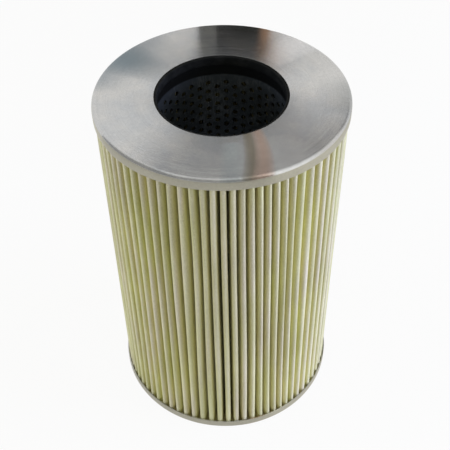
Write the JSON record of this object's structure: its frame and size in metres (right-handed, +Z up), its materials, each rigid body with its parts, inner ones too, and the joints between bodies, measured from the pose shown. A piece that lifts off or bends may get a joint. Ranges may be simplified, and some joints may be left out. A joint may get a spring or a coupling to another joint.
{
  "type": "pleated filter element",
  "caption": "Cylindrical filter element: a folded paper pack round a punched steel tube, between two pressed steel end caps with rubber bore seals.",
  "frame": {"origin": "centre of the foot, on the outer face of the bottom end cap", "axes": "+Z up the element's axis to the top end cap; the paper's seam and its clip face +Y, behind the side that the picture shows"},
  "size_m": [0.13, 0.13, 0.204],
  "materials": {
    "cap_steel": "zinc-plated pressed steel with fine circular drawing marks, satin",
    "seal_rubber": "smooth moulded black rubber, matt",
    "potting_adhesive": "poured adhesive, pale cream, matt",
    "tube_steel": "blackened punched steel sheet, slightly blue, dull",
    "filter_paper": "resin-treated cellulose filter paper, khaki yellow, matt and slightly fibrous",
    "clip_steel": "plain folded steel strip, satin"
  },
  "bodies": {
    "root": {"top_end_cap": "cap_steel", "bottom_end_cap": "cap_steel", "top_seal": "seal_rubber", "bottom_seal": "seal_rubber", "top_potting": "potting_adhesive", "bottom_potting": "potting_adhesive", "centre_tube": "tube_steel", "pleated_media": "filter_paper", "seam_clip": "clip_steel"}
  },
  "joints": []
}
